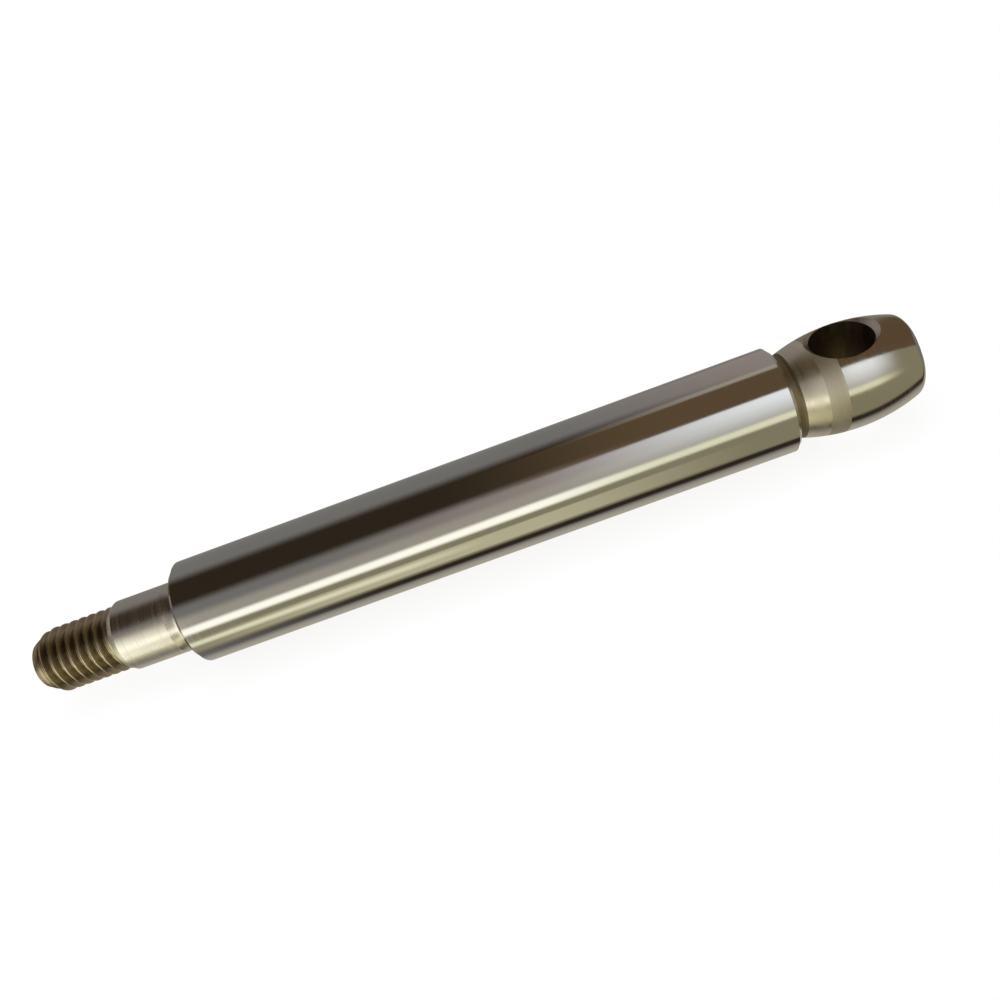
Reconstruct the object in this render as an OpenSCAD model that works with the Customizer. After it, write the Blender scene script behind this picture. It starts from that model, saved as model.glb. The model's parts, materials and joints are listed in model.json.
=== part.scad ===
// Chromed piston rod turned from one bar. It lies along X with its threaded end toward -X.
// The origin is the middle of the cross hole in the eye, and the hole runs along Z.

/* [Rod] */
// Diameter of the ground and chromed rod
rod_d = 16; // [14:0.5:24]
// Length of the rod between its two shoulders
rod_l = 93.4; // [40:0.2:200]
// Chamfer on the edge of each shoulder
rod_edge = 0.5; // [0.2:0.1:1]

/* [Piston seat] */
// Height of the seat's surface above the thread
seat_step = 0.5; // [0.3:0.1:1]
// Length of the seat from the shoulder to the thread
seat_l = 11.5; // [8:0.1:30]
// Width of the relief beside the shoulder
relief_w = 2.6; // [1:0.1:4]
// Depth of the relief beside the shoulder
relief_depth = 0.2; // [0.1:0.05:0.4]

/* [Thread] */
// Diameter over the thread's crests
thread_d = 10; // [8:0.5:11]
// Length of the threaded end, with its lead-in
thread_l = 13.1; // [9:0.1:40]
// Pitch of the thread
thread_pitch = 1.5; // [0.75:0.25:1.75]
// Slope of the lead-in cones of the thread and of the seat, from the axis
lead_angle = 30; // [20:1:45]

/* [Eye] */
// Length of the eye from the rod's shoulder to its flat end
eye_l = 19.2; // [17:0.1:30]
// Distance of the hole's middle from the eye's flat end
hole_back = 9.4; // [9:0.1:15]
// Height of the rod's surface above the eye at its widest
eye_drop = 0.15; // [0:0.05:0.4]
// Depth of the neck below the rod's surface
neck_depth = 1.6; // [1:0.1:2]
// Width of the neck between the shoulder and the swell of the eye
neck_w = 1.1; // [0.8:0.1:2]
// Fillet at the foot of the shoulder above the neck
neck_fillet = 0.4; // [0.2:0.1:0.6]
// Rounding of the edge of the eye's flat end
eye_round = 1.3; // [0.4:0.1:2]
// Diameter of the cross hole
hole_d = 9; // [6:0.5:10]
// Countersink of the hole's two mouths, measured along the rod
hole_edge = 0.8; // [0.2:0.1:1]

/* [Hidden] */
$fn = 128;

rod_r = rod_d / 2;
thread_r = thread_d / 2;
seat_r = thread_r + seat_step;
eye_r = rod_r - eye_drop;
neck_r = rod_r - neck_depth;
hole_r = hole_d / 2;

// Places along the axis, counted from the middle of the hole
eye_end = hole_back;
rod_front = eye_end - eye_l;
neck_end = rod_front + neck_w;
rod_back = rod_front - rod_l;
seat_end = rod_back - seat_l;
tip = seat_end - thread_l;

// Ratio of a standard 60 degree thread's depth to its pitch
thread_depth_ratio = 0.6134;
// The thread's lead-in cone starts this far below its root
lead_margin = 0.4;
lead_depth = thread_depth_ratio * thread_pitch + lead_margin;
lead_l = lead_depth / tan(lead_angle);

// The seat's lead-in cone rises from the thread's crests
seat_lead = seat_step / tan(lead_angle);

// A shallow arc across the width of the relief
relief_r = (pow(relief_w / 2, 2) + pow(relief_depth, 2)) / (2 * relief_depth);

// The eye's outline is one arc, from the neck over its widest place, midway along the eye
swell_place = (rod_front + eye_end) / 2;
swell_half = swell_place - neck_end;
swell_rise = eye_r - neck_r;
swell_r = (pow(swell_half, 2) + pow(swell_rise, 2)) / (2 * swell_rise);
swell_centre = eye_r - swell_r;

// Height of the eye's outline at a place along the axis
function eye_height(place) = swell_centre + sqrt(pow(swell_r, 2) - pow(place - swell_place, 2));

// The rounding of the flat end touches the arc from inside
round_place = eye_end - eye_round;
round_centre = swell_centre + sqrt(pow(swell_r - eye_round, 2) - pow(round_place - swell_place, 2));
// From the arc's centre through the rounding's centre, to a point outside the eye
round_reach = (swell_r + eye_round) / (swell_r - eye_round);
round_outside = [
    swell_centre + round_reach * (round_centre - swell_centre),
    swell_place + round_reach * (round_place - swell_place)
];

// Height above the axis at which the 45 degree countersink starts
sink_base = eye_height(hole_r + hole_edge) - hole_edge;
// The countersink's cone ends this far above the eye
sink_clear = 1;
sink_l = eye_r + sink_clear - sink_base;

// Half sections, with the radius across and the place along the axis upward

module rod_section() {
    polygon([
        [0, rod_back],
        [rod_r - rod_edge, rod_back],
        [rod_r, rod_back + rod_edge],
        [rod_r, rod_front - rod_edge],
        [rod_r - rod_edge, rod_front],
        [0, rod_front]
    ]);
}

module seat_section() {
    difference() {
        polygon([
            [0, seat_end],
            [thread_r, seat_end],
            [seat_r, seat_end + seat_lead],
            [seat_r, rod_back],
            [0, rod_back]
        ]);
        translate([seat_r - relief_depth + relief_r, rod_back - relief_w / 2])
            circle(relief_r);
    }
}

module thread_section() {
    polygon([
        [0, tip],
        [thread_r - lead_depth, tip],
        [thread_r, tip + lead_l],
        [thread_r, seat_end],
        [0, seat_end]
    ]);
}

module neck_section() {
    translate([0, rod_front])
        square([neck_r, neck_w]);
    difference() {
        translate([0, rod_front])
            square([neck_r + neck_fillet, neck_fillet]);
        translate([neck_r + neck_fillet, rod_front + neck_fillet])
            circle(neck_fillet);
    }
}

module eye_section() {
    intersection() {
        translate([swell_centre, swell_place])
            circle(swell_r);
        polygon([
            [0, neck_end],
            [rod_r, neck_end],
            round_outside,
            [round_centre, round_place],
            [round_centre, eye_end],
            [0, eye_end]
        ]);
    }
    eye_rounding();
}

module eye_rounding() {
    intersection() {
        translate([round_centre, round_place])
            circle(eye_round);
        polygon([
            [round_centre, round_place],
            round_outside,
            [rod_r, eye_end],
            [round_centre, eye_end]
        ]);
    }
}

module hole_section() {
    polygon([
        [0, -sink_base - sink_l],
        [hole_r + sink_l, -sink_base - sink_l],
        [hole_r, -sink_base],
        [hole_r, sink_base],
        [hole_r + sink_l, sink_base + sink_l],
        [0, sink_base + sink_l]
    ]);
}

module piston_rod() {
    color("silver")
        difference() {
            rotate([0, 90, 0])
                rotate_extrude() {
                    thread_section();
                    seat_section();
                    rod_section();
                    neck_section();
                    eye_section();
                }
            rotate_extrude()
                hole_section();
        }
}

piston_rod();
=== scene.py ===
"""Dresses the chromed piston rod and sets it in a plain studio.

The rod is one turned piece, so it is one mesh here too: a turned body, a helical thread and a cross hole.
Sizes are in millimetres, as in the part's source, and meshes are in metres in the part's own frame.
"""

import json
import logging
import math
from dataclasses import dataclass
from enum import Enum, IntEnum
from typing import Any, NamedTuple

import bmesh
import bpy
from mathutils import Matrix, Vector

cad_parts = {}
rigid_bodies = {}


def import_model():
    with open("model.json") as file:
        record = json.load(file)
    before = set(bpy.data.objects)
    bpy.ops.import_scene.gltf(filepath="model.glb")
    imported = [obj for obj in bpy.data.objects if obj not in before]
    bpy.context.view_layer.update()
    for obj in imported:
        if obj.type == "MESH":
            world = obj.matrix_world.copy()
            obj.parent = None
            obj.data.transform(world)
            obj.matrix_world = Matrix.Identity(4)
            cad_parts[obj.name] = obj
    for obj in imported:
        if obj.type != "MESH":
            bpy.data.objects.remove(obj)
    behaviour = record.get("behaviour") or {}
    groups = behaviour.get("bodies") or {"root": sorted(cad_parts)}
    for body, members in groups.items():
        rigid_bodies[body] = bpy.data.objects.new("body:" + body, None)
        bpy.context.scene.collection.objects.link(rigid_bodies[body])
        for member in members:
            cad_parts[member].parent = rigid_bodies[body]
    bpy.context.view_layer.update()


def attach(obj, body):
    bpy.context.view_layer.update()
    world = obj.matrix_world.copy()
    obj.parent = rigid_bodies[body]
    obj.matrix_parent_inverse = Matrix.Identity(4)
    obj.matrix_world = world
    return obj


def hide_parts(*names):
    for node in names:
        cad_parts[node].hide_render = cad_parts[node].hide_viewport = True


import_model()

LOG = logging.getLogger("piston_rod")
MM = 0.001
WHITE = "#ffffff"
# Faces round each turned surface. The thread and the body share the count, so that their rings meet.
SEGMENTS = 192
# Points closer than this, in metres, are one point.
MERGE_DISTANCE = 2e-7
# Kinds of node that work with real numbers, with whole numbers and with colours.
SUM = "ShaderNodeMath"
WHOLE_SUM = "FunctionNodeIntegerMath"
BLEND = "ShaderNodeMix"
# Kinds of socket for the values that a tree is given.
SOCKET_KINDS = {
    int: "NodeSocketInt",
    float: "NodeSocketFloat",
    bpy.types.Material: "NodeSocketMaterial",
}


def linear(colour: str) -> tuple[float, float, float, float]:
    """Turns an sRGB hex colour into linear values, by the curve that is straight near black.

    Args:
        colour: Six hex digits after a hash mark.

    Returns:
        Red, green, blue and an alpha of 1.
    """
    parts = [int(colour[i : i + 2], 16) / 255 for i in (1, 3, 5)]
    curved = [((part + 0.055) / 1.055) ** 2.4 for part in parts]
    pairs = zip(parts, curved)
    red, green, blue = [part / 12.92 if part <= 0.04045 else curve for part, curve in pairs]
    return red, green, blue, 1.0


def add_node(
    tree: bpy.types.NodeTree,
    kind: str,
    inputs: dict[str, Any] | list[Any] | None = None,
    **settings: Any,
) -> bpy.types.Node:
    """Adds a node with its settings, its values and the links that come into it.

    Args:
        tree: The tree that takes the node.
        kind: The node's type.
        inputs: Values, sockets to link from, or nodes whose first result is linked. They are given
            by the names of the node's inputs, or in the order of those in use.
        settings: The node's own properties.

    Returns:
        The new node.
    """
    node = tree.nodes.new(kind)
    for name, value in settings.items():
        setattr(node, name, value)
    if isinstance(inputs, dict):
        pairs = [(node.inputs[name], value) for name, value in inputs.items()]
    else:
        in_use = [socket for socket in node.inputs if socket.enabled]
        pairs = list(zip(in_use, inputs or []))
    for socket, value in pairs:
        if isinstance(value, bpy.types.Node):
            value = next(result for result in value.outputs if result.enabled)
        if isinstance(value, bpy.types.NodeSocket):
            tree.links.new(value, socket)
        else:
            socket.default_value = value
    return node


def blank_material(name: str) -> bpy.types.Material:
    """Makes a material with an empty node tree.

    Args:
        name: The material's name.

    Returns:
        The material.
    """
    material = bpy.data.materials.new(name)
    material.use_nodes = True
    material.node_tree.nodes.clear()
    return material


def make_object(
    name: str,
    shape: bmesh.types.BMesh,
    materials: list[bpy.types.Material],
) -> bpy.types.Object:
    """Makes a shape an object of the scene, at the origin, and frees the shape.

    Args:
        name: The object's name.
        shape: Its faces.
        materials: Its materials, in the order of the faces' numbers for them.

    Returns:
        The object.
    """
    mesh = bpy.data.meshes.new(name)
    shape.to_mesh(mesh)
    shape.free()
    for material in materials:
        mesh.materials.append(material)
    made = bpy.data.objects.new(name, mesh)
    bpy.context.scene.collection.objects.link(made)
    return made


def seal(shape: bmesh.types.BMesh) -> None:
    """Makes points that coincide into one and drops the empty faces between them.

    Args:
        shape: The mesh to mend.
    """
    bmesh.ops.remove_doubles(shape, verts=shape.verts, dist=MERGE_DISTANCE)
    bmesh.ops.dissolve_degenerate(shape, edges=shape.edges, dist=MERGE_DISTANCE)


class Zone(IntEnum):
    """Stretches of the rod that have a finish of their own, in the order of the mesh's material slots."""

    THREAD = 0
    SEAT = 1
    ROD = 2
    GROOVE = 3
    NECK = 4
    MATT = 5
    EYE = 6
    HOLE = 7


class Axis(Enum):
    """Axes that outlines are turned about, as an order for the two radial directions and the place."""

    X = (2, 0, 1)
    Z = (0, 1, 2)


class Stop(NamedTuple):
    """A point of a turned outline, in millimetres, and the finish of the stretch that starts there."""

    place: float
    radius: float
    zone: Zone


def turn(shape: bmesh.types.BMesh, stops: list[Stop], axis: Axis) -> None:
    """Turns an outline about an axis into faces.

    Args:
        shape: The mesh that takes the faces.
        stops: The outline, in order along the axis.
        axis: The axis.
    """
    angles = [2 * math.pi * i / SEGMENTS for i in range(SEGMENTS)]
    rings = []
    for stop in stops:
        radius = stop.radius * MM
        around = angles if radius > 0 else angles[:1]
        ring = []
        for angle in around:
            point = (radius * math.cos(angle), radius * math.sin(angle), stop.place * MM)
            ring.append(shape.verts.new([point[i] for i in axis.value]))
        rings.append(ring)
    for stop, ring, following in zip(stops, rings, rings[1:]):
        for i in range(SEGMENTS):
            j = (i + 1) % SEGMENTS
            corners = [
                ring[i % len(ring)],
                ring[j % len(ring)],
                following[j % len(following)],
                following[i % len(following)],
            ]
            face = shape.faces.new(list(dict.fromkeys(corners)))
            face.material_index = stop.zone


@dataclass(frozen=True)
class RodSizes:
    """Sizes of the rod in millimetres. Places along its axis are counted from the middle of the hole."""

    rod_d: float = 16.0
    rod_l: float = 93.4
    rod_edge: float = 0.5
    seat_step: float = 0.5
    seat_l: float = 11.5
    relief_w: float = 2.6
    relief_depth: float = 0.2
    thread_d: float = 10.0
    thread_l: float = 13.1
    thread_pitch: float = 1.5
    thread_depth_ratio: float = 0.6134
    lead_angle: float = 30.0
    lead_margin: float = 0.4
    eye_l: float = 19.2
    hole_back: float = 9.4
    eye_drop: float = 0.15
    neck_depth: float = 1.6
    neck_w: float = 1.1
    neck_fillet: float = 0.4
    eye_round: float = 1.3
    hole_d: float = 9.0
    hole_edge: float = 0.8
    # Places along the eye where the groove's painted shade, the satin cut and the matt cut end.
    grime_end: float = -8.3
    satin_end: float = -5.2
    matt_end: float = -2.6

    @property
    def rod_r(self) -> float:
        """Radius of the rod."""
        return self.rod_d / 2

    @property
    def thread_r(self) -> float:
        """Radius over the thread's crests."""
        return self.thread_d / 2

    @property
    def thread_depth(self) -> float:
        """Height of the thread's crests above its root."""
        return self.thread_depth_ratio * self.thread_pitch

    @property
    def lead_depth(self) -> float:
        """Depth of the lead-in cone at the tip, below the crests."""
        return self.thread_depth + self.lead_margin

    @property
    def seat_r(self) -> float:
        """Radius of the piston's seat."""
        return self.thread_r + self.seat_step

    @property
    def eye_r(self) -> float:
        """Largest radius of the eye."""
        return self.rod_r - self.eye_drop

    @property
    def neck_r(self) -> float:
        """Radius of the neck."""
        return self.rod_r - self.neck_depth

    @property
    def hole_r(self) -> float:
        """Radius of the cross hole."""
        return self.hole_d / 2

    @property
    def seat_lead(self) -> float:
        """Length of the cone that leads onto the seat."""
        return self.seat_step / math.tan(math.radians(self.lead_angle))

    @property
    def rod_front(self) -> float:
        """Place of the shoulder beside the eye."""
        return self.hole_back - self.eye_l

    @property
    def neck_end(self) -> float:
        """Place where the neck meets the eye's arc."""
        return self.rod_front + self.neck_w

    @property
    def rod_back(self) -> float:
        """Place of the shoulder beside the seat."""
        return self.rod_front - self.rod_l

    @property
    def seat_end(self) -> float:
        """Place where the seat meets the thread."""
        return self.rod_back - self.seat_l

    @property
    def tip(self) -> float:
        """Place of the threaded end's tip."""
        return self.seat_end - self.thread_l

    @property
    def swell_place(self) -> float:
        """Place where the eye is widest."""
        return (self.rod_front + self.hole_back) / 2

    @property
    def swell_rise(self) -> float:
        """Height of the eye's arc above the neck."""
        return self.eye_r - self.neck_r

    @property
    def swell_r(self) -> float:
        """Radius of the eye's arc."""
        half = self.swell_place - self.neck_end
        return (half**2 + self.swell_rise**2) / (2 * self.swell_rise)

    def eye_height(self, place: float) -> float:
        """Gives the radius of the eye's arc at a place along the axis."""
        return self.eye_r - self.swell_r + math.sqrt(self.swell_r**2 - (place - self.swell_place) ** 2)

    @property
    def sink_base(self) -> float:
        """Height above the axis at which the hole's countersink starts."""
        return self.eye_height(self.hole_r + self.hole_edge) - self.hole_edge


@dataclass(frozen=True)
class TurnedBody:
    """The lathe-turned surfaces of the rod, without its thread."""

    sizes: RodSizes
    # Length of the steps along an arc, in millimetres, and the fewest steps of a short one.
    arc_step: float = 0.3
    least_steps: int = 6

    def arc(
        self,
        centre: tuple[float, float],
        radius: float,
        start: float,
        end: float,
        zone: Zone,
    ) -> list[Stop]:
        """Gives the stops of an arc of the outline.

        Args:
            centre: Place and radius of the arc's centre.
            radius: The arc's own radius.
            start: Angle at which it starts, in degrees from the axis.
            end: Angle at which it ends.
            zone: The arc's finish.

        Returns:
            Stops from the start up to the end, about arc_step apart.
        """
        place, height = centre
        length = abs(math.radians(end - start)) * radius
        count = max(self.least_steps, math.ceil(length / self.arc_step))
        stops = []
        for i in range(count + 1):
            angle = math.radians(start + (end - start) * i / count)
            along = place + radius * math.cos(angle)
            stops.append(Stop(along, height + radius * math.sin(angle), zone))
        return stops

    def relief(self) -> list[Stop]:
        """Gives the shallow relief beside the seat's shoulder.

        Returns:
            Stops of its arc.
        """
        sizes = self.sizes
        half = sizes.relief_w / 2
        radius = (half**2 + sizes.relief_depth**2) / (2 * sizes.relief_depth)
        spread = math.degrees(math.asin(half / radius))
        centre = (sizes.rod_back - half, sizes.seat_r - sizes.relief_depth + radius)
        return self.arc(centre, radius, 270 - spread, 270 + spread, Zone.SEAT)

    def neck(self) -> list[Stop]:
        """Gives the fillet under the shoulder, from which the neck runs on level.

        Returns:
            Stops of the fillet's arc.
        """
        sizes = self.sizes
        centre = (sizes.rod_front + sizes.neck_fillet, sizes.neck_r + sizes.neck_fillet)
        return self.arc(centre, sizes.neck_fillet, 180, 270, Zone.GROOVE)

    def swell(self) -> list[Stop]:
        """Gives the eye from the neck to the middle of its flat end.

        Returns:
            Stops of its arc, where the finish changes too, of its rounded edge and of its flat end.
        """
        sizes = self.sizes
        centre = (sizes.swell_place, sizes.eye_r - sizes.swell_r)
        round_place = sizes.hole_back - sizes.eye_round
        reach = sizes.swell_r - sizes.eye_round
        round_turn = math.degrees(math.acos((round_place - sizes.swell_place) / reach))
        round_r = centre[1] + reach * math.sin(math.radians(round_turn))
        # The groove's stretch, darkened with painted shade, ends where the eye's arc leaves the recess.
        places = [sizes.neck_end, sizes.grime_end, sizes.satin_end, sizes.matt_end]
        turns = [math.degrees(math.acos((place - sizes.swell_place) / sizes.swell_r)) for place in places]
        turns.append(round_turn)
        zones = [Zone.GROOVE, Zone.NECK, Zone.MATT, Zone.EYE]
        stops = []
        for zone, start, end in zip(zones, turns, turns[1:]):
            stops += self.arc(centre, sizes.swell_r, start, end, zone)[:-1]
        rounding = self.arc((round_place, round_r), sizes.eye_round, round_turn, 0, Zone.EYE)
        return stops + rounding + [Stop(sizes.hole_back, 0.0, Zone.EYE)]

    def outline(self) -> list[Stop]:
        """Gives the outline from the end of the thread to the eye's flat end.

        Returns:
            Stops in order along the axis.
        """
        sizes = self.sizes
        seat = [
            Stop(sizes.seat_end, sizes.thread_r, Zone.SEAT),
            Stop(sizes.seat_end + sizes.seat_lead, sizes.seat_r, Zone.SEAT),
        ]
        rod = [
            Stop(sizes.rod_back, sizes.rod_r - sizes.rod_edge, Zone.ROD),
            Stop(sizes.rod_back + sizes.rod_edge, sizes.rod_r, Zone.ROD),
            Stop(sizes.rod_front - sizes.rod_edge, sizes.rod_r, Zone.ROD),
            Stop(sizes.rod_front, sizes.rod_r - sizes.rod_edge, Zone.GROOVE),
        ]
        return seat + self.relief() + rod + self.neck() + self.swell()

    def tip(self) -> list[Stop]:
        """Gives the flat face at the threaded end's tip.

        Returns:
            Stops of its middle and of its edge.
        """
        sizes = self.sizes
        edge = sizes.thread_r - sizes.lead_depth
        return [Stop(sizes.tip, 0.0, Zone.THREAD), Stop(sizes.tip, edge, Zone.THREAD)]


@dataclass(frozen=True)
class ScrewThread:
    """The cut thread: a section of one pitch, carried along a helix by geometry nodes."""

    sizes: RodSizes
    # Width of the crests as a share of the pitch, and the slope of the flanks in degrees from a radius.
    crest_share: float = 0.125
    flank_angle: float = 30.0
    # How far each corner is cut back for its rounding, and the length of the runout at the seat.
    corner_cut: float = 0.06
    runout: float = 1.1
    # Turns that are wound beyond the length of the thread, one of them before the tip.
    spare_turns: int = 2

    def rounded(self, corner: Vector, before: Vector, after: Vector) -> list[Vector]:
        """Gives the three points that round a corner of the section.

        Args:
            corner: The sharp corner.
            before: Direction of the line that comes in, of length 1.
            after: Direction of the line that goes out, of length 1.

        Returns:
            Where the rounding starts, its middle and where it ends.
        """
        start = corner - before * self.corner_cut
        end = corner + after * self.corner_cut
        return [start, (start + end + corner * 2) / 4, end]

    def section(self) -> list[Vector]:
        """Gives one pitch of the thread from root to root.

        Returns:
            Places along the axis and radii, in millimetres.
        """
        sizes = self.sizes
        root = sizes.thread_r - sizes.thread_depth
        crest = self.crest_share * sizes.thread_pitch / 2
        foot = crest + sizes.thread_depth * math.tan(math.radians(self.flank_angle))
        level = Vector((1.0, 0.0))
        flank = Vector((foot - crest, -sizes.thread_depth)).normalized()
        right = [
            *self.rounded(Vector((crest, sizes.thread_r)), level, flank),
            *self.rounded(Vector((foot, root)), flank, level),
            Vector((sizes.thread_pitch / 2, root)),
        ]
        left = [Vector((-point.x, point.y)) for point in reversed(right)]
        return left + right

    def inputs(self, material: bpy.types.Material) -> dict[str, Any]:
        """Gives the tree's inputs, with lengths in metres.

        Args:
            material: The finish of the thread.

        Returns:
            Values by the inputs' names.
        """
        sizes = self.sizes
        return {
            "Turns": math.ceil(sizes.thread_l / sizes.thread_pitch) + self.spare_turns,
            "Segments": SEGMENTS,
            "Pitch": sizes.thread_pitch * MM,
            "Start": (sizes.tip - sizes.thread_pitch) * MM,
            "Tip": sizes.tip * MM,
            "Tip Radius": (sizes.thread_r - sizes.lead_depth) * MM,
            "Lead Slope": math.tan(math.radians(sizes.lead_angle)),
            "Runout Start": (sizes.seat_end - self.runout) * MM,
            "End": sizes.seat_end * MM,
            "Root Radius": (sizes.thread_r - sizes.thread_depth) * MM,
            "Crest Radius": sizes.thread_r * MM,
            "Material": material,
        }

    def tree(self, inputs: dict[str, Any]) -> bpy.types.NodeTree:
        """Makes the node tree that winds the section and trims it at the tip and at the seat.

        Args:
            inputs: Values by the inputs' names, which give the inputs their kinds.

        Returns:
            The tree.
        """
        tree = bpy.data.node_groups.new("wound_thread", "GeometryNodeTree")
        tree.interface.new_socket("Section", in_out="INPUT", socket_type="NodeSocketGeometry")
        for name, value in inputs.items():
            tree.interface.new_socket(name, in_out="INPUT", socket_type=SOCKET_KINDS[type(value)])
        tree.interface.new_socket("Thread", in_out="OUTPUT", socket_type="NodeSocketGeometry")
        given = add_node(tree, "NodeGroupInput").outputs

        # A sheet with a column for each step round the axis and a row for each point of the section.
        points = add_node(tree, "GeometryNodeAttributeDomainSize", [given["Section"]]).outputs["Point Count"]
        columns = add_node(tree, WHOLE_SUM, [given["Turns"], given["Segments"], 1], operation="MULTIPLY_ADD")
        sheet = add_node(tree, "GeometryNodeMeshGrid", {"Vertices X": columns, "Vertices Y": points})
        index = add_node(tree, "GeometryNodeInputIndex")
        column = add_node(tree, WHOLE_SUM, [index, points], operation="DIVIDE_FLOOR")
        row = add_node(tree, WHOLE_SUM, [index, points], operation="MODULO")
        place = add_node(tree, "GeometryNodeInputPosition")
        sample = add_node(
            tree,
            "GeometryNodeSampleIndex",
            {"Geometry": given["Section"], "Value": place, "Index": row},
            data_type="FLOAT_VECTOR",
            domain="POINT",
        )
        section = add_node(tree, "ShaderNodeSeparateXYZ", [sample]).outputs

        # The place along the axis grows by a pitch with each turn, and stays between the tip and the seat.
        turns = add_node(tree, SUM, [column, given["Segments"]], operation="DIVIDE")
        middle = add_node(tree, SUM, [turns, given["Pitch"], given["Start"]], operation="MULTIPLY_ADD")
        along = add_node(tree, SUM, [middle, section["X"]], operation="ADD")
        past_tip = add_node(tree, SUM, [along, given["Tip"]], operation="MAXIMUM")
        x = add_node(tree, SUM, [past_tip, given["End"]], operation="MINIMUM")

        # The runout lifts the root up to the crests, and the lead-in cone cuts everything down to itself.
        rise = {
            "Value": x,
            "From Min": given["Runout Start"],
            "From Max": given["End"],
            "To Min": given["Root Radius"],
            "To Max": given["Crest Radius"],
        }
        root = add_node(tree, "ShaderNodeMapRange", rise)
        from_tip = add_node(tree, SUM, [x, given["Tip"]], operation="SUBTRACT")
        cone = add_node(
            tree,
            SUM,
            [from_tip, given["Lead Slope"], given["Tip Radius"]],
            operation="MULTIPLY_ADD",
        )
        cut = add_node(tree, SUM, [section["Y"], root], operation="MAXIMUM")
        radius = add_node(tree, SUM, [cut, cone], operation="MINIMUM")

        # Each point goes round the axis, and points that meet become one.
        angle = add_node(tree, SUM, [turns, 2 * math.pi], operation="MULTIPLY")
        cosine = add_node(tree, SUM, [angle], operation="COSINE")
        sine = add_node(tree, SUM, [angle], operation="SINE")
        y = add_node(tree, SUM, [radius, cosine], operation="MULTIPLY")
        z = add_node(tree, SUM, [radius, sine], operation="MULTIPLY")
        wound = add_node(tree, "ShaderNodeCombineXYZ", [x, y, z])
        moved = add_node(tree, "GeometryNodeSetPosition", {"Geometry": sheet, "Position": wound})
        merge = {"Geometry": moved, "Distance": MERGE_DISTANCE}
        merged = add_node(tree, "GeometryNodeMergeByDistance", merge)
        real = add_node(tree, "GeometryNodeRealizeInstances", [merged])
        dress = {"Geometry": real, "Material": given["Material"]}
        dressed = add_node(tree, "GeometryNodeSetMaterial", dress)
        add_node(tree, "NodeGroupOutput", [dressed])
        return tree

    def build(self, material: bpy.types.Material) -> bpy.types.Mesh:
        """Winds the thread and gives it as a plain mesh.

        Args:
            material: The finish of the thread.

        Returns:
            The thread from the tip's edge to the seat, open at both ends.
        """
        outline = bpy.data.meshes.new("thread_section")
        points = [(point.x * MM, point.y * MM, 0.0) for point in self.section()]
        outline.from_pydata(points, [(i, i + 1) for i in range(len(points) - 1)], [])
        carrier = bpy.data.objects.new("thread_section", outline)
        bpy.context.scene.collection.objects.link(carrier)
        inputs = self.inputs(material)
        modifier = carrier.modifiers.new("wound_thread", "NODES")
        modifier.node_group = self.tree(inputs)
        for item in modifier.node_group.interface.items_tree:
            if item.name in inputs:
                modifier[item.identifier] = inputs[item.name]
        graph = bpy.context.evaluated_depsgraph_get()
        wound = bpy.data.meshes.new_from_object(carrier.evaluated_get(graph))
        carrier.modifiers.remove(modifier)
        bpy.data.objects.remove(carrier)
        return wound


@dataclass(frozen=True)
class CrossHole:
    """The hole through the eye with its two countersunk mouths, as a tool that cuts it."""

    sizes: RodSizes
    # Height of the tool above the eye, in millimetres.
    clear: float = 1.0

    def outline(self) -> list[Stop]:
        """Gives the tool's outline: the drill, with a 45 degree cone at each end.

        Returns:
            Stops in order from the bottom to the top.
        """
        sizes = self.sizes
        cone = sizes.eye_r - sizes.sink_base + self.clear
        top = sizes.sink_base + cone
        return [
            Stop(-top, 0.0, Zone.NECK),
            Stop(-top, sizes.hole_r + cone, Zone.NECK),
            Stop(-sizes.sink_base, sizes.hole_r, Zone.HOLE),
            Stop(sizes.sink_base, sizes.hole_r, Zone.NECK),
            Stop(top, sizes.hole_r + cone, Zone.NECK),
            Stop(top, 0.0, Zone.NECK),
        ]

    def tool(self) -> bpy.types.Object:
        """Makes the cutting tool along the Z axis.

        Returns:
            The tool, whose faces carry the finish of the cut.
        """
        shape = bmesh.new()
        turn(shape, self.outline(), Axis.Z)
        bmesh.ops.recalc_face_normals(shape, faces=shape.faces)
        return make_object("hole_tool", shape, [])


@dataclass(frozen=True)
class RingMarks:
    """Fine marks that a tool or wheel leaves round a turned surface."""

    spacing_mm: float
    depth_mm: float
    # Length of a mark in spacings, and how much it breaks up.
    stretch: float = 40.0
    detail: float = 3.0
    # Heights of the marks, out of 1, below which the surface is smoothest and above which it is roughest.
    low: float = 0.3
    high: float = 0.7

    def field(self, tree: bpy.types.NodeTree) -> bpy.types.Node:
        """Adds the marks to a finish.

        Args:
            tree: The finish's tree.

        Returns:
            The marks' height from 0 to 1.
        """
        place = add_node(tree, "ShaderNodeTexCoord").outputs["Object"]
        along = 1 / (self.spacing_mm * MM)
        across = along / self.stretch
        turned = add_node(tree, "ShaderNodeMapping", {"Vector": place, "Scale": (along, across, across)})
        return add_node(tree, "ShaderNodeTexNoise", {"Vector": turned, "Scale": 1.0, "Detail": self.detail})


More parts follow.
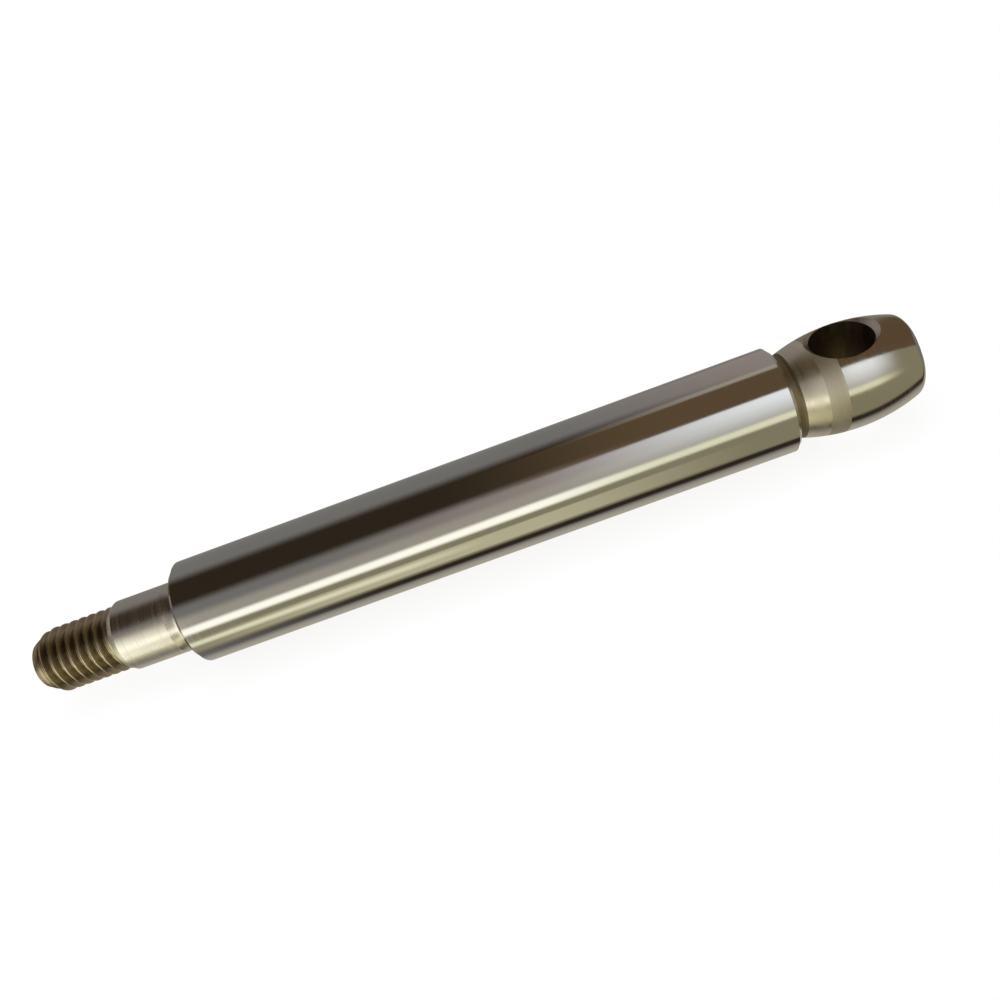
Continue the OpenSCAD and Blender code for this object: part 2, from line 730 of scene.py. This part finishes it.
@dataclass(frozen=True)
class PaintedCrestHighlight:
    """A painted highlight: lighter colour on the outer edge of a dark surface, standing for the glints of its
    crests.
    """

    colour: str
    outer_mm: float
    depth_mm: float

    def over(self, tree: bpy.types.NodeTree, tone: bpy.types.Node) -> bpy.types.Node:
        """Lays the painted highlight over a tone.

        Args:
            tree: The finish's tree.
            tone: The colour of the surface below the edge.

        Returns:
            The colour with its painted highlight.
        """
        place = add_node(tree, "ShaderNodeTexCoord").outputs["Object"]
        across = add_node(tree, "ShaderNodeVectorMath", [place, (0.0, 1.0, 1.0)], operation="MULTIPLY")
        radius = add_node(tree, "ShaderNodeVectorMath", [across], operation="LENGTH")
        inner_mm = self.outer_mm - self.depth_mm
        reach = {"Value": radius, "From Min": inner_mm * MM, "From Max": self.outer_mm * MM}
        share = add_node(tree, "ShaderNodeMapRange", reach)
        return add_node(tree, BLEND, [share, tone, linear(self.colour)], data_type="RGBA")


@dataclass(frozen=True)
class MetalFinish:
    """A bare or plated metal surface with marks round it and a slow drift of tone."""

    name: str
    light: str
    dark: str
    smooth: float
    rough: float
    marks: RingMarks
    # Size of the patches of tone, in millimetres, and how much they break up.
    cloud_mm: float = 9.0
    cloud_detail: float = 2.0
    crest: PaintedCrestHighlight | None = None

    def material(self) -> bpy.types.Material:
        """Makes the finish as a node material.

        Returns:
            The material.
        """
        material = blank_material(self.name)
        tree = material.node_tree
        marks = self.marks.field(tree)
        place = add_node(tree, "ShaderNodeTexCoord").outputs["Object"]
        drift = {"Vector": place, "Scale": 1 / (self.cloud_mm * MM), "Detail": self.cloud_detail}
        cloud = add_node(tree, "ShaderNodeTexNoise", drift)
        tone = add_node(tree, BLEND, [cloud, linear(self.dark), linear(self.light)], data_type="RGBA")
        if self.crest:
            tone = self.crest.over(tree, tone)
        reach = {
            "Value": marks,
            "From Min": self.marks.low,
            "From Max": self.marks.high,
            "To Min": self.smooth,
            "To Max": self.rough,
        }
        rough = add_node(tree, "ShaderNodeMapRange", reach)
        relief = {"Height": marks, "Strength": 1.0, "Distance": self.marks.depth_mm * MM}
        bump = add_node(tree, "ShaderNodeBump", relief)
        metal = {"Base Color": tone, "Metallic": 1.0, "Roughness": rough, "Normal": bump}
        shader = add_node(tree, "ShaderNodeBsdfPrincipled", metal)
        add_node(tree, "ShaderNodeOutputMaterial", {"Surface": shader})
        return material


class RodFinish(Enum):
    """The finishes of the rod's stretches, one for each zone.

    Real turning marks are about 0.1 mm apart and grinding marks much finer. Both are drawn coarser here,
    so that they show.
    """

    # Steel with a cut thread, left bare under a film of old oil: dark and warm, with a painted highlight
    # on its crests that stands for their glints.
    THREAD = MetalFinish(
        "oiled_cut_steel",
        "#a89b82",
        "#85785f",
        0.20,
        0.34,
        RingMarks(0.4, 0.004),
        5.0,
        crest=PaintedCrestHighlight("#b5a98f", outer_mm=RodSizes().thread_r, depth_mm=0.2),
    )
    # Steel ground to size for the piston: bright, with faint marks round it.
    SEAT = MetalFinish("ground_steel", "#d8d5cc", "#ccc7bb", 0.22, 0.32, RingMarks(0.3, 0.0008))
    # Hard chrome plated on ground steel: a clear mirror, with the wheel's marks only just to be seen.
    ROD = MetalFinish("hard_chrome", "#c7c7c6", "#c0bfbd", 0.05, 0.11, RingMarks(0.25, 0.0004), 14.0)
    # A turned groove: dull, and dark and brown with painted shade of the recess.
    GROOVE = MetalFinish("turned_steel_painted_shade", "#948870", "#726750", 0.48, 0.62, RingMarks(0.3, 0.003), 3.0)
    # Turned steel that was not ground: satin, with the tool's marks round it.
    NECK = MetalFinish("turned_satin_steel", "#e0dacc", "#c8c1b2", 0.28, 0.38, RingMarks(0.35, 0.003), 4.0)
    # The same turned steel where a coarser cut left it duller.
    MATT = MetalFinish("turned_matt_steel", "#cac3b4", "#b2aa9a", 0.46, 0.58, RingMarks(0.35, 0.003), 4.0)
    # Turned and polished steel, plated with the rod: a mirror a little softer than the rod's.
    EYE = MetalFinish("polished_chrome", "#c7c6c3", "#bcb9b2", 0.09, 0.17, RingMarks(0.3, 0.0008), 6.0)
    # A drilled wall, dark brown with painted shade of the hole, and with the drill's marks.
    HOLE = MetalFinish("drilled_steel_painted_shade", "#7a6d58", "#594d3b", 0.35, 0.55, RingMarks(0.3, 0.003), 3.0)


@dataclass(frozen=True)
class PistonRod:
    """The whole rod: turned body, thread and hole in one mesh."""

    sizes: RodSizes
    # Edges that turn by more than this, in degrees, stay sharp.
    sharp_angle: float = 14.0

    def closed_body(self, finishes: list[bpy.types.Material]) -> bpy.types.Object:
        """Joins the turned body and the thread into one closed mesh.

        Args:
            finishes: Materials in the order of the zones.

        Returns:
            The body before its hole is cut.
        """
        body = TurnedBody(self.sizes)
        thread = ScrewThread(self.sizes).build(finishes[Zone.THREAD])
        shape = bmesh.new()
        shape.from_mesh(thread)
        bpy.data.meshes.remove(thread)
        for face in shape.faces:
            face.material_index = Zone.THREAD
        turn(shape, body.tip(), Axis.X)
        turn(shape, body.outline(), Axis.X)
        seal(shape)
        bmesh.ops.recalc_face_normals(shape, faces=shape.faces)
        return make_object("piston_rod_dressed", shape, finishes)

    def drill(self, piece: bpy.types.Object) -> None:
        """Cuts the cross hole through the eye.

        Args:
            piece: The closed body.
        """
        tool = CrossHole(self.sizes).tool()
        cut = piece.modifiers.new("cross_hole", "BOOLEAN")
        cut.operation = "DIFFERENCE"
        cut.solver = "EXACT"
        cut.material_mode = "INDEX"
        cut.object = tool
        graph = bpy.context.evaluated_depsgraph_get()
        drilled = bpy.data.meshes.new_from_object(piece.evaluated_get(graph))
        piece.modifiers.remove(cut)
        bpy.data.objects.remove(tool)
        shape = bmesh.new()
        shape.from_mesh(drilled)
        seal(shape)
        open_edges = sum(not edge.is_manifold for edge in shape.edges)
        LOG.info("drilled body: %d faces, %d open edges", len(shape.faces), open_edges)
        shape.to_mesh(drilled)
        shape.free()
        piece.data = drilled

    def build(self) -> bpy.types.Object:
        """Makes the rod, cuts its hole and dresses it.

        Returns:
            The finished piece, at the origin.
        """
        finishes = [RodFinish[zone.name].value.material() for zone in Zone]
        piece = self.closed_body(finishes)
        self.drill(piece)
        piece.data.shade_smooth()
        piece.data.set_sharp_from_angle(angle=math.radians(self.sharp_angle))
        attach(piece, "root")
        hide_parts("piston_rod")
        return piece


class Tone(Enum):
    """Cloths and lamps of the light tent, named for their colours."""

    SOOT = "#2b241a"
    UMBER = "#554532"
    STONE = "#6d6b69"
    OLIVE = "#7c7760"
    TAUPE = "#877d77"
    ASH = "#948f83"
    KHAKI = "#b0aa8d"
    LIME = "#d8d7b9"
    MIST = "#e2e6e8"
    CREAM = "#fffdf0"


@dataclass(frozen=True)
class Panel:
    """A cloth or a lamp on the tent's wall.

    Low and high are degrees above the level in front of the rod, going up and over to the back.
    Left and right are places along X in metres, and lie beyond the tent's ends if they aren't given.
    Each edge is soft over the degrees or metres given.
    """

    tone: Tone
    low: float
    high: float
    soft_low: float = 4.0
    soft_high: float = 4.0
    left: float = -5.0
    right: float = 5.0
    fade: float = 0.1

    def cover(
        self,
        tree: bpy.types.NodeTree,
        angle: bpy.types.Node,
        x: bpy.types.NodeSocket,
    ) -> bpy.types.Node:
        """Adds the panel's share of the wall, from 0 outside it to 1 inside.

        Args:
            tree: The tent's tree.
            angle: Degrees of a point above the level in front.
            x: Its place along X.

        Returns:
            The share.
        """
        edges = (
            (angle, self.low, self.soft_low, 0.0),
            (angle, self.high, self.soft_high, 1.0),
            (x, self.left, self.fade, 0.0),
            (x, self.right, self.fade, 1.0),
        )
        share: Any = 1.0
        for value, edge, soft, outside in edges:
            reach = {
                "Value": value,
                "From Min": edge - soft / 2,
                "From Max": edge + soft / 2,
                "To Min": outside,
                "To Max": 1 - outside,
            }
            inside = add_node(tree, "ShaderNodeMapRange", reach, interpolation_type="SMOOTHSTEP")
            share = add_node(tree, SUM, [share, inside], operation="MULTIPLY")
        return share


@dataclass(frozen=True)
class LightTent:
    """A round tent along the rod with cloths and lamps on its wall, which only reflections see.

    The panels hang over each other in the order in which they are listed.
    """

    wall: Tone = Tone.STONE
    front_cloth: Panel = Panel(Tone.TAUPE, 8, 90, left=-0.125, fade=0.16)
    front_foot: Panel = Panel(Tone.ASH, 8, 34, soft_high=18)
    dark_ceiling: Panel = Panel(Tone.SOOT, 60, 123, soft_low=20, soft_high=26)
    table_cloth: Panel = Panel(Tone.OLIVE, -60, 0)
    table_middle: Panel = Panel(Tone.KHAKI, -52, -20, left=-0.24, right=0.01, fade=0.16)
    # Painted shade: a dark band for the rod's shadow on the table, as reflections see it.
    table_shade: Panel = Panel(Tone.SOOT, -76, -58, soft_low=12, soft_high=8, left=-0.24, fade=0.2)
    floor_cloth: Panel = Panel(Tone.ASH, -150, -84, soft_low=40, soft_high=22)
    back_lamp: Panel = Panel(Tone.CREAM, -149, -131, soft_low=6, soft_high=6, left=-0.5)
    side_window: Panel = Panel(Tone.MIST, 22, 57, soft_low=60, soft_high=6, left=0.02, fade=0.18)
    strip_end: Panel = Panel(Tone.LIME, -4, 9, soft_low=8, soft_high=8, left=-0.1)
    strip_lamp: Panel = Panel(Tone.CREAM, -5, 10.5, soft_low=9, soft_high=9, right=-0.02)
    low_lamp: Panel = Panel(Tone.LIME, -37, -26, soft_low=10, soft_high=8, right=-0.12, fade=0.08)
    right_wall: Panel = Panel(Tone.TAUPE, 114, 300, left=0.04, fade=0.16)
    right_beam: Panel = Panel(Tone.UMBER, 57, 111, soft_low=6, left=-0.04, fade=0.16)
    right_rail: Panel = Panel(Tone.ASH, 107, 116, soft_low=6, soft_high=6, left=0.02, right=0.2, fade=0.14)
    end_cloth: Panel = Panel(Tone.OLIVE, -54, 57, left=0.31, fade=0.28)
    end_wall: Panel = Panel(Tone.UMBER, 57, 300, left=0.24, fade=0.16)
    far_end: Panel = Panel(Tone.STONE, -300, 300, left=0.95, fade=0.3)
    left_window: Panel = Panel(Tone.CREAM, -39, 30, soft_low=38, soft_high=40, right=-0.296, fade=0.04)
    left_end: Panel = Panel(Tone.STONE, -300, 300, right=-0.55, fade=0.2)
    left_corner: Panel = Panel(Tone.UMBER, -172, -106, right=-0.45)
    left_wall: Panel = Panel(Tone.TAUPE, 100, 300, right=-0.5)
    left_lamp: Panel = Panel(Tone.LIME, -94, -46, soft_low=16, soft_high=12, right=-0.6)
    radius: float = 0.4
    half_length: float = 1.2
    sides: int = 96
    # Brightness at which a white cloth, mirrored by chrome, comes out white.
    strength: float = 1.8

    def panels(self) -> list[Panel]:
        """Lists the panels in order."""
        return [value for value in vars(self).values() if isinstance(value, Panel)]

    def material(self) -> bpy.types.Material:
        """Makes the lit wall with its panels.

        Returns:
            The material.
        """
        material = blank_material("lit_tent_cloth")
        tree = material.node_tree
        place = add_node(tree, "ShaderNodeTexCoord").outputs["Object"]
        parts = add_node(tree, "ShaderNodeSeparateXYZ", [place]).outputs
        front = add_node(tree, SUM, [parts["Y"], -1.0], operation="MULTIPLY")
        radians = add_node(tree, SUM, [parts["Z"], front], operation="ARCTAN2")
        angle = add_node(tree, SUM, [radians], operation="DEGREES")
        colour: Any = linear(self.wall.value)
        for panel in self.panels():
            share = panel.cover(tree, angle, parts["X"])
            over = linear(panel.tone.value)
            colour = add_node(tree, BLEND, [share, colour, over], data_type="RGBA")
        light = add_node(tree, "ShaderNodeEmission", {"Color": colour, "Strength": self.strength})
        add_node(tree, "ShaderNodeOutputMaterial", {"Surface": light})
        return material

    def build(self) -> None:
        """Pitches the tent round the rod."""
        shape = bmesh.new()
        bmesh.ops.create_cone(
            shape,
            cap_ends=True,
            segments=self.sides,
            radius1=self.radius,
            radius2=self.radius,
            depth=2 * self.half_length,
            matrix=Matrix.Rotation(math.pi / 2, 4, "Y"),
        )
        tent = make_object("light_tent", shape, [self.material()])
        tent.visible_camera = False
        tent.visible_diffuse = False
        tent.visible_shadow = False


@dataclass(frozen=True)
class PaperFloor:
    """White paper under the rod, with a faint soft shade where the rod meets it."""

    level: float
    half_size: float = 2.5
    # Colour of the shade, how far from the rod it reaches in metres, and how finely it is measured.
    shade: str = "#f6f5f3"
    shade_reach: float = 0.006
    shade_samples: int = 4

    def material(self) -> bpy.types.Material:
        """Makes the paper: white, and shaded only where the rod stands over it.

        Returns:
            The material.
        """
        material = blank_material("white_paper")
        tree = material.node_tree
        near = {"Distance": self.shade_reach}
        open_share = add_node(tree, "ShaderNodeAmbientOcclusion", near, samples=self.shade_samples)
        blend = [open_share.outputs["AO"], linear(self.shade), linear(WHITE)]
        colour = add_node(tree, BLEND, blend, data_type="RGBA")
        light = add_node(tree, "ShaderNodeEmission", {"Color": colour, "Strength": 1.0})
        add_node(tree, "ShaderNodeOutputMaterial", {"Surface": light})
        return material

    def build(self) -> None:
        """Lays the paper. Reflections see the tent's table in its place."""
        shape = bmesh.new()
        bmesh.ops.create_grid(shape, x_segments=1, y_segments=1, size=self.half_size)
        bmesh.ops.translate(shape, verts=shape.verts, vec=(0.0, 0.0, self.level))
        floor = make_object("paper_floor", shape, [self.material()])
        floor.visible_glossy = False


@dataclass(frozen=True)
class Camera:
    """The photograph's camera: close to the rod, above it, and rolled so that the rod climbs to the right."""

    # Lengths are in metres and angles in degrees. The lens and the sensor are in millimetres.
    aim: tuple[float, float, float] = (-0.05344, 0.00012, 0.0)
    distance: float = 0.1332
    azimuth: float = 4.36
    elevation: float = 39.79
    roll: float = -22.70
    lens: float = 32.04
    sensor: float = 36.0
    nearest: float = 0.005

    def build(self) -> None:
        """Places the camera and makes it the scene's own."""
        azimuth = math.radians(self.azimuth)
        elevation = math.radians(self.elevation)
        level = math.cos(elevation)
        back = Vector((math.sin(azimuth) * level, -math.cos(azimuth) * level, math.sin(elevation)))
        data = bpy.data.cameras.new("camera")
        data.lens = self.lens
        data.sensor_width = self.sensor
        data.clip_start = self.nearest
        camera = bpy.data.objects.new("camera", data)
        bpy.context.scene.collection.objects.link(camera)
        facing = (-back).to_track_quat("-Z", "Y").to_matrix().to_4x4()
        place = Matrix.Translation(Vector(self.aim) + back * self.distance)
        camera.matrix_world = place @ facing @ Matrix.Rotation(math.radians(self.roll), 4, "Z")
        bpy.context.scene.camera = camera


@dataclass(frozen=True)
class Studio:
    """The plain room: a white world, paper under the rod, the tent and the camera."""

    sizes: RodSizes

    def world(self) -> None:
        """Makes the room white."""
        world = bpy.data.worlds.new("white_room")
        world.use_nodes = True
        tree = world.node_tree
        tree.nodes.clear()
        light = add_node(tree, "ShaderNodeBackground", {"Color": linear(WHITE), "Strength": 1.0})
        add_node(tree, "ShaderNodeOutputWorld", {"Surface": light})
        bpy.context.scene.world = world

    def build(self) -> None:
        """Sets the whole room."""
        bpy.context.scene.view_settings.view_transform = "Standard"
        self.world()
        PaperFloor(-self.sizes.rod_r * MM).build()
        LightTent().build()
        Camera().build()


def main() -> None:
    """Builds the rod and the room in order."""
    logging.basicConfig(level=logging.INFO, format="%(message)s")
    sizes = RodSizes()
    rod = PistonRod(sizes).build()
    LOG.info("%s: %d faces", rod.name, len(rod.data.polygons))
    Studio(sizes).build()


if __name__ == "__main__":
    main()
